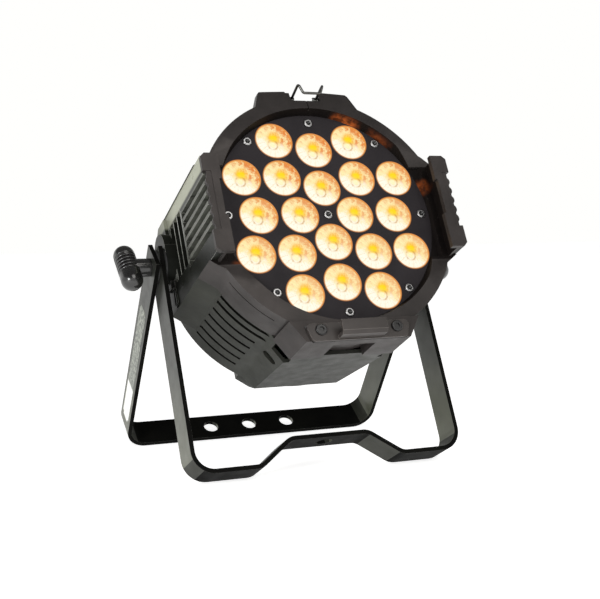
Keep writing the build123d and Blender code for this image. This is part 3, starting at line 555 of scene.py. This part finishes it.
def add_leg_label():
    """Blank rating label on the outer face of the left rear leg: pale foot, mottled middle."""
    width, length, foot, thick = 19.0, 132.0, 12.0, 0.12
    points = [vertex.co for vertex in NODES["rear_bracket"].data.vertices]
    outer = min(p.x for p in points)
    foot_hole = Vector(MOUNTS["rear_clamp_hole_middle"]["pos_m"])
    reach = Vector((0.0, foot_hole.y - HINGE.y, foot_hole.z - HINGE.z))
    down = reach.normalized()
    across = down.cross(Vector((-1.0, 0.0, 0.0)))
    s = Shader("label_film")
    along = s.add("ShaderNodeVectorMath", operation="DOT_PRODUCT")
    s.link(s.coordinates(), along.inputs[0])
    along.inputs[1].default_value = Vector((0.0, 1.0, 0.0)) / MM
    mottle = s.span(s.noise(260.0, 4.0, 0.7), 0.42, 0.60, 0.0, 1.0)
    body = s.mix(mottle, (0.050, 0.055, 0.045), (0.30, 0.32, 0.26))
    pale = s.span(along.outputs["Value"], length / 2 - 42.0, length / 2 - 40.0, 0.0, 1.0)
    s.link(s.mix(pale, body, (0.86, 0.87, 0.82)), s.surface.inputs["Base Color"])
    s.set(Roughness=0.35)
    bm = bmesh.new()
    bmesh.ops.create_cube(bm, size=1.0)
    bmesh.ops.scale(bm, vec=Vector((width, length, thick)) * MM, verts=bm.verts)
    upright = [e for e in bm.edges if abs((e.verts[0].co - e.verts[1].co).z) > thick * MM / 2]
    bmesh.ops.bevel(bm, geom=upright, offset=3.0 * MM, segments=5, affect="EDGES")
    centre = HINGE + down * (reach.length - (foot + length / 2 + 12.0) * MM)
    centre.x = outer - thick * MM / 2
    turn = Matrix((across, down, across.cross(down))).transposed().to_4x4()
    add_piece("leg_label", mesh_from(bm, "leg_label", smooth=False), "base", s.material,
              Matrix.Translation(centre) @ turn)


def add_clip_coils(material):
    """Two small coils that the wire clip springs on, wound round the line that it turns on."""
    turns, steps, coil_r, wire_r, start, length = 4, 16, 2.9, 0.5, 9.6, 4.0
    pivot = Vector(JOINTS["clip_flip"]["pos_m"])
    for name, side in (("clip_coil_left", -1), ("clip_coil_right", 1)):
        curve = bpy.data.curves.new(name, "CURVE")
        curve.dimensions = "3D"
        curve.bevel_depth = wire_r * MM
        curve.bevel_resolution = 3
        spline = curve.splines.new("NURBS")
        spline.points.add(turns * steps)
        for i, point in enumerate(spline.points):
            a = tau * i / steps
            along = side * (start + length * i / (turns * steps))
            place = Vector((along, coil_r * cos(a), coil_r * sin(a))) * MM
            point.co = (*(pivot + HEAD.to_3x3() @ place), 1.0)
        spline.order_u = 3
        spline.use_endpoint_u = True
        curve.materials.append(material)
        add_piece(name, curve, "clip")


def add_socket_shades(material):
    """Dark hexagonal discs in the sockets of the face screws: painted shade in their hollows."""
    low, high = local_box("face_screws")
    reach = (high.x - low.x) / 2 - SCREW_HEAD_R
    corner_u, corner_v = 60.6, 70.5
    places = [(0, 0), (reach, 0), (-reach, 0), (0, reach), (0, -reach)]
    places += [(su * corner_u, sv * corner_v) for su in (-1, 1) for sv in (-1, 1)]
    # painted shade: near black discs set in the screw sockets
    shade_disc = lathe("socket_shade", [(0.0, 0.62), (2.1, 0.62), (2.42, 1.46)], 6)
    for i, (u, v) in enumerate(places, start=1):
        place = HEAD @ Matrix.Translation(Vector((u, v, FACE_N)) * MM)
        add_piece(f"screw_socket_shade_{i}", shade_disc.copy(), "head", material, place)


# ---- looks of each node --------------------------------------------------------------------
def paint(names, material):
    for name in names:
        data = NODES[name].data
        data.materials.clear()
        data.materials.append(material)


def dress_frame():
    cast = powder_coat("cast_coat", (0.018, 0.019, 0.016), (0.032, 0.033, 0.028), (0.36, 0.48),
                       gloss=0.12, tint=(0.97, 1.0, 0.88))
    ring = powder_coat("ring_coat", (0.018, 0.016, 0.0155), (0.032, 0.028, 0.027), (0.36, 0.48), gloss=0.25,
                       tint=(1.0, 0.93, 0.88))
    holder = powder_coat("holder_coat", (0.030, 0.026, 0.024), (0.046, 0.040, 0.037), (0.34, 0.44),
                         gloss=0.25)
    side = side_coat()
    # painted highlight: pale coat for the slanted strips above the side panels
    strip = powder_coat("strip_highlight", (0.16, 0.165, 0.13), (0.24, 0.245, 0.20), (0.30, 0.40), gloss=0.5)
    bar = bar_coat()
    # painted half shade: a duller copy of the bracket coat, a step between the legs and the shaded crossbar
    bend = powder_coat("bar_bend_shade", (0.020, 0.021, 0.016), (0.032, 0.033, 0.026), (0.4, 0.5), gloss=0.12)
    # painted shade: near black for the brackets' crossbars and the walls of the housing's grooves
    under = powder_coat("underside_shade", (0.003, 0.003, 0.003), (0.006, 0.006, 0.005), (0.5, 0.6), gloss=0.02)
    # painted highlights: paler, glossier coats for the rounded edges
    pale_edge = powder_coat("edge_highlight_pale", (0.16, 0.165, 0.145), (0.34, 0.345, 0.31), (0.25, 0.35), gloss=0.8)
    warm_edge = powder_coat("edge_highlight_warm", (0.09, 0.078, 0.070), (0.17, 0.15, 0.135), (0.28, 0.38), gloss=0.6)
    soft_edge = powder_coat("edge_highlight_soft", (0.05, 0.052, 0.045), (0.085, 0.088, 0.076), (0.3, 0.4), gloss=0.4)
    plate = powder_coat("plate_coat", (0.014, 0.012, 0.0135), (0.020, 0.017, 0.019), (0.55, 0.66),
                        3000.0, 0.05, gloss=0.15)
    soften("front_ring", ring, 1.1, warm_edge, (recess_shade_glow(), strip), ring_parts)
    soften("main_housing", cast, 0.6, soft_edge, (under, strip), housing_parts)
    # painted highlight on the outer ends of the side panels' fins
    fin = powder_coat("fin_highlight", (0.12, 0.125, 0.11), (0.24, 0.245, 0.22), (0.25, 0.35), gloss=0.7)
    soften("side_panel_right", side, 0.5, pale_edge, (fin,), side_parts)
    soften("side_panel_left", side, 0.5, pale_edge, (fin,), side_parts)
    soften("rear_cover", cast, 0.7, soft_edge)
    soften("accessory_holder", holder, 0.9, warm_edge)
    for node in ("front_bracket", "rear_bracket"):
        soften(node, bar, 0.8, soft_edge, (bend, under), bar_parts)
    add_leg_label()
    paint(["face_plate"], plate)
    bright = bare_metal("screw_plate", (0.22, 0.22, 0.22), (0.46, 0.46, 0.46), (0.22, 0.36))
    black_steel = bare_metal("screw_oxide", (0.05, 0.05, 0.05), (0.09, 0.09, 0.09), (0.3, 0.42))
    drawn = bare_metal("wire_steel", (0.05, 0.05, 0.048), (0.14, 0.14, 0.13), (0.25, 0.38), (1.0, 8.0, 8.0))
    zinc = bare_metal("zinc_plate", (0.42, 0.42, 0.43), (0.62, 0.62, 0.64), (0.25, 0.38), (0.2, 6.0, 6.0))
    nickel = bare_metal("nickel_plate", (0.34, 0.34, 0.35), (0.48, 0.48, 0.48), (0.24, 0.34))
    paint(["face_screws"], bright)
    paint(["rear_screws"], black_steel)
    paint(["top_clip"], drawn)
    add_clip_coils(drawn)
    # jet black: the holder screws' own colour, and painted shade in the screw sockets and round the holder
    # plate
    jet = moulded("screw_jet", (0.004, 0.004, 0.004), (0.008, 0.008, 0.008), (0.25, 0.35))
    add_socket_shades(jet)
    add_holder_gap(jet)
    paint(["holder_screws"], jet)
    paint(["clamp_stud_right", "clamp_stud_left", "safety_eye"], zinc)
    paint(["signal_input", "signal_output"], nickel)
    gloss = moulded("knob_gloss", (0.008, 0.008, 0.008), (0.014, 0.014, 0.013), (0.16, 0.24), 900.0,
                    0.02, 0.5)
    paint(["knob_right", "knob_left"], gloss)
    rubber = moulded("gasket_rubber", (0.010, 0.010, 0.010), (0.018, 0.018, 0.018), (0.6, 0.75))
    paint(["front_gasket"], rubber)
    fibre = moulded("washer_fibre", (0.015, 0.015, 0.015), (0.03, 0.03, 0.03), (0.55, 0.7))
    paint(["friction_washers", "leg_washers"], fibre)
    black = moulded("black_nylon", (0.014, 0.014, 0.015), (0.024, 0.024, 0.025), (0.42, 0.55))
    paint(["fan_frame", "fan_rotor", "control_panel", "fuse_cap", "lens_holders"], black)
    grey = moulded("button_grey", (0.17, 0.17, 0.18), (0.24, 0.24, 0.25), (0.35, 0.45))
    paint([f"button_{i}" for i in range(1, 5)], grey)
    window = moulded("window_tint", (0.006, 0.006, 0.007), (0.01, 0.01, 0.011), (0.06, 0.1), coat=1.0)
    paint(["display_window"], window)
    paint(["power_inlet"], moulded("socket_blue", (0.02, 0.06, 0.30), (0.03, 0.09, 0.38), (0.35, 0.45)))
    paint(["power_outlet"], moulded("socket_grey", (0.38, 0.38, 0.39), (0.48, 0.48, 0.49), (0.38, 0.5)))
    green = moulded("board_green", (0.01, 0.08, 0.03), (0.015, 0.12, 0.045), (0.3, 0.4))
    paint(["power_supply", "control_board"], green)
    paint(["led_board"], moulded("board_white", (0.62, 0.62, 0.60), (0.72, 0.72, 0.70), (0.35, 0.45)))
    extruded = bare_metal("extruded", (0.55, 0.55, 0.56), (0.70, 0.70, 0.71), (0.3, 0.42), (1.0, 1.0, 0.1))
    paint(["heat_sink"], extruded)
    emitter = Shader("emitter_lit")
    emitter.link(emitter.mix(emitter.noise(400.0), (1.0, 0.55, 0.10), (1.0, 0.75, 0.30)),
                 emitter.surface.inputs["Emission Color"])
    emitter.set(Emission_Strength=2.0, Base_Color=(0.8, 0.6, 0.3, 1.0))
    paint(["led_emitters"], emitter.material)


# ---- floor, lights and camera -----------------------------------------------------------------
def add_floor():
    bm = bmesh.new()
    bmesh.ops.create_grid(bm, x_segments=2, y_segments=2, size=6.0)
    mesh = mesh_from(bm, "floor", smooth=False)
    floor = bpy.data.objects.new("floor", mesh)
    bpy.context.scene.collection.objects.link(floor)
    s = Shader("floor_white")
    paper = s.mix(s.noise(3.0), (0.93, 0.93, 0.93), (0.95, 0.95, 0.95))
    s.link(paper, s.surface.inputs["Base Color"])
    s.link(paper, s.surface.inputs["Emission Color"])
    s.set(Roughness=0.9, Specular_IOR_Level=0.0, Emission_Strength=0.78)
    mesh.materials.append(s.material)


def add_area_light(name, location, target, size, power, colour=(1.0, 1.0, 1.0)):
    light = bpy.data.lights.new(name, "AREA")
    light.shape = "RECTANGLE"
    light.size, light.size_y = size
    light.energy = power
    light.color = colour
    lamp = bpy.data.objects.new(name, light)
    bpy.context.scene.collection.objects.link(lamp)
    lamp.location = location
    lamp.rotation_euler = (Vector(target) - Vector(location)).to_track_quat("-Z", "Y").to_euler()


def add_lights():
    """White surroundings near the horizon under a dim ceiling, and two soft boxes."""
    world = bpy.data.worlds.new("studio")
    bpy.context.scene.world = world
    world.use_nodes = True
    tree = world.node_tree
    direction = tree.nodes.new("ShaderNodeTexCoord").outputs["Generated"]
    split = tree.nodes.new("ShaderNodeSeparateXYZ")
    tree.links.new(direction, split.inputs["Vector"])
    fade = tree.nodes.new("ShaderNodeMapRange")
    fade.interpolation_type = "SMOOTHSTEP"
    for index, value in enumerate((0.30, 0.50, 1.0, 0.16), start=1):
        fade.inputs[index].default_value = value
    tree.links.new(split.outputs["Z"], fade.inputs["Value"])
    tree.links.new(fade.outputs["Result"], tree.nodes["Background"].inputs["Strength"])
    tree.nodes["Background"].inputs["Color"].default_value = (1.0, 1.0, 0.985, 1.0)
    middle = (0.0, 0.0, 0.18)
    add_area_light("fill_front", (0.3, -1.8, 1.8), middle, (1.5, 1.5), 24.0, (1.0, 0.97, 0.94))
    add_area_light("key_left", (-1.4, -1.1, 0.55), middle, (0.5, 0.5), 14.0)


CAMERA_PLACE = (-0.4055, -0.9513, 0.2242)
CAMERA_YAW = radians(-23.26)
CAMERA_DIP = radians(4.29)
CAMERA_ROLL = radians(-0.5)
CAMERA_LENS = 68.14


def add_camera():
    data = bpy.data.cameras.new("camera")
    data.sensor_width = 36.0
    data.lens = CAMERA_LENS
    data.clip_start = 0.01
    camera = bpy.data.objects.new("camera", data)
    bpy.context.scene.collection.objects.link(camera)
    level = Vector((-sin(CAMERA_YAW), cos(CAMERA_YAW), 0.0))
    forward = cos(CAMERA_DIP) * level + Vector((0.0, 0.0, -sin(CAMERA_DIP)))
    right = Vector((cos(CAMERA_YAW), sin(CAMERA_YAW), 0.0))
    up = right.cross(forward)
    tilted_right = cos(CAMERA_ROLL) * right + sin(CAMERA_ROLL) * up
    tilted_up = tilted_right.cross(forward)
    turn = Matrix((tilted_right, tilted_up, -forward)).transposed().to_4x4()
    camera.matrix_world = Matrix.Translation(CAMERA_PLACE) @ turn
    bpy.context.scene.camera = camera


add_camera()
dress_frame()
add_lenses()
add_floor()
add_lights()
bpy.context.scene.view_settings.view_transform = "Standard"
